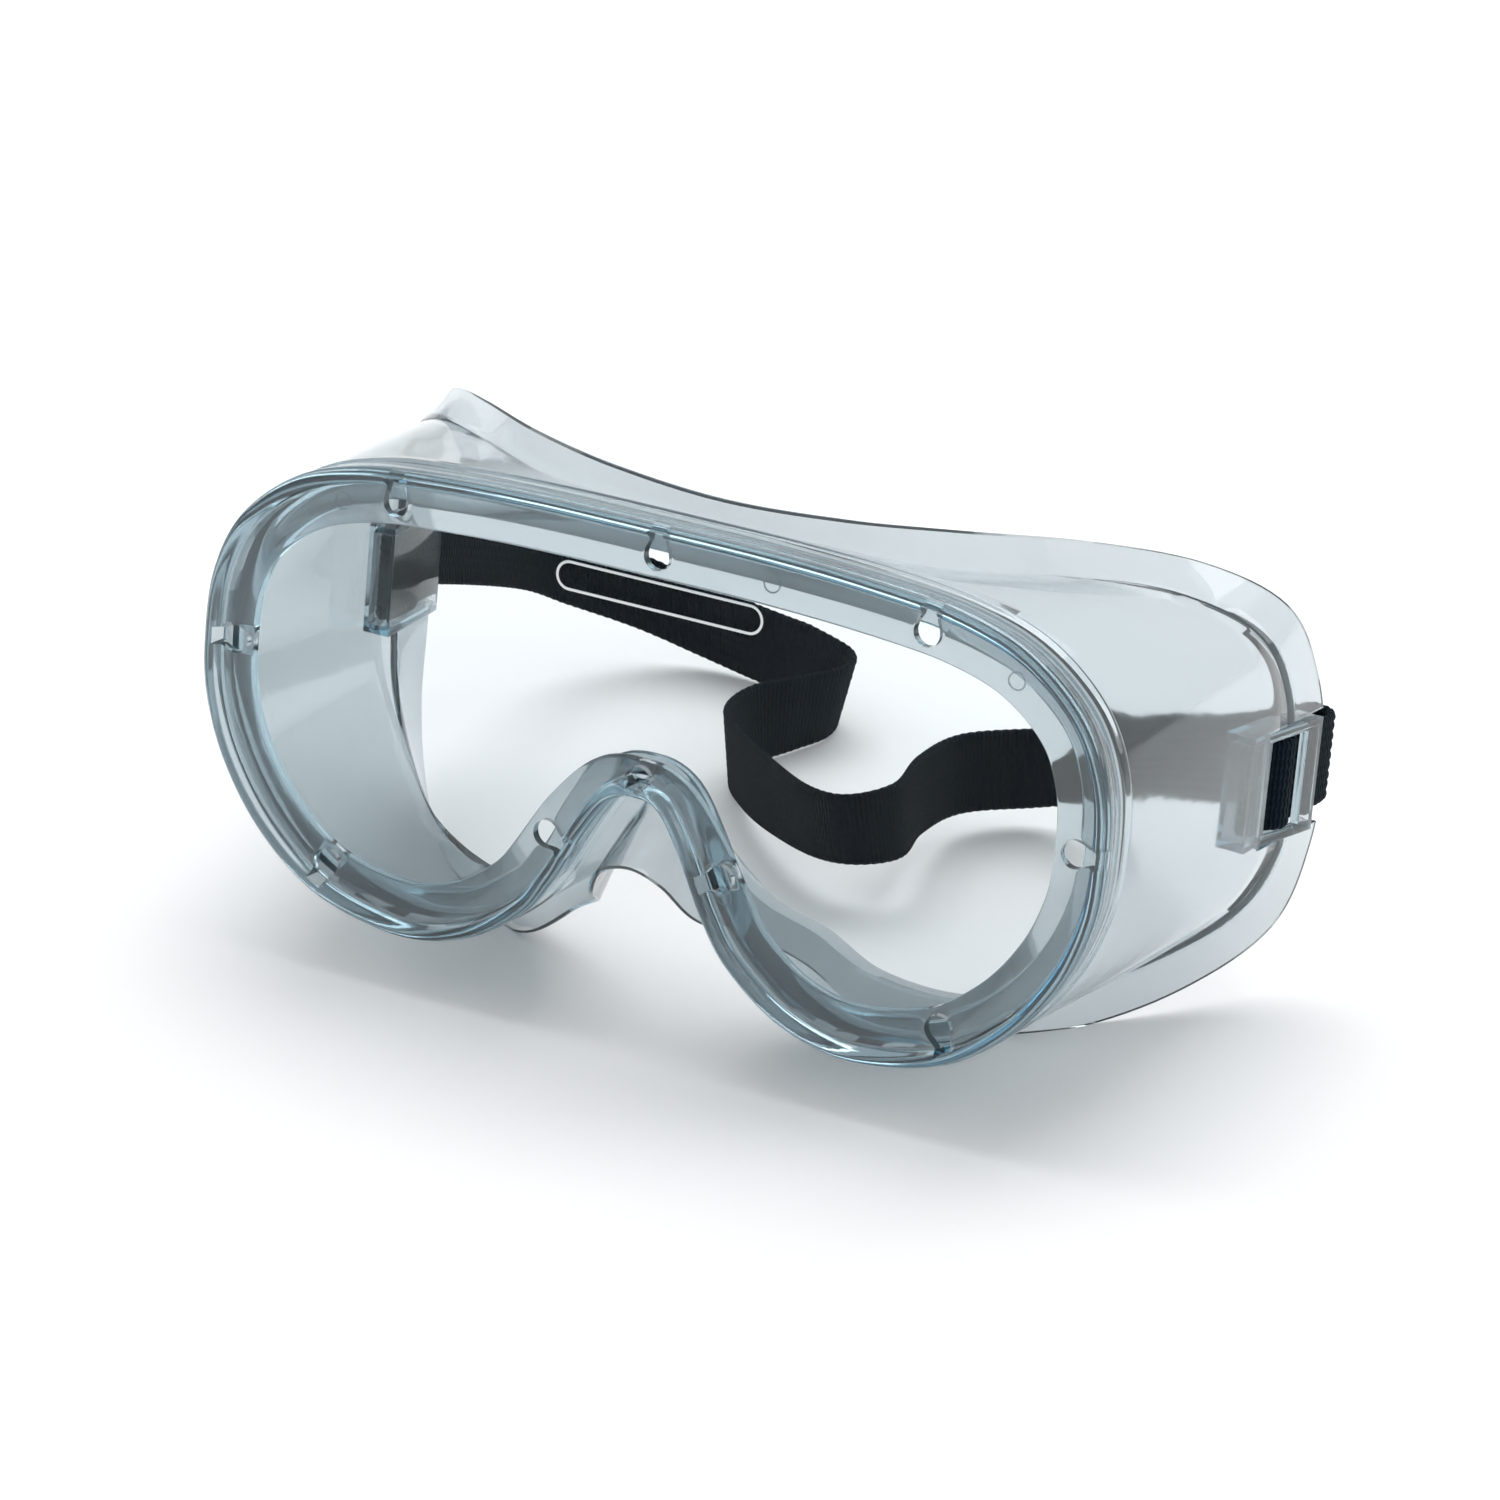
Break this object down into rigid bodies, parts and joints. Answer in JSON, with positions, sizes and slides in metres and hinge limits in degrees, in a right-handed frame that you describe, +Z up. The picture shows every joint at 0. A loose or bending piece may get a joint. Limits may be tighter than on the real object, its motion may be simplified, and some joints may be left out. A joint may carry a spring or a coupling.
{
  "type": "safety goggles",
  "caption": "Soft clear goggles that seal round the eyes and over the nose, with a flat lens in a notched rim and an elastic strap that swings about side loops.",
  "frame": {"origin": "on the floor, under the middle of the goggles and their slack strap", "axes": "+X to the wearer's left, +Y towards the wearer's head, +Z up"},
  "size_m": [0.1652, 0.1234, 0.0835],
  "materials": {
    "clear_pvc": "soft clear plasticised vinyl with a faint blue tint, glossy",
    "clear_lens": "clear hard-coated polycarbonate, polished",
    "black_webbing": "ribbed black woven elastic"
  },
  "bodies": {
    "facepiece": {"facepiece_rim": "clear_pvc", "facepiece_skirt": "clear_pvc", "lens": "clear_lens", "strap_loop_left": "clear_pvc", "strap_loop_right": "clear_pvc", "strap_end_left": "black_webbing", "strap_end_right": "black_webbing"},
    "strap": {"strap_main": "black_webbing"}
  },
  "joints": [
    {"name": "strap_swing", "type": "hinge", "parent": "facepiece", "child": "strap", "pos_m": [0, 0.01815, 0.03524], "axis": [1, 0, 0], "range_deg": [0, 70]}
  ]
}
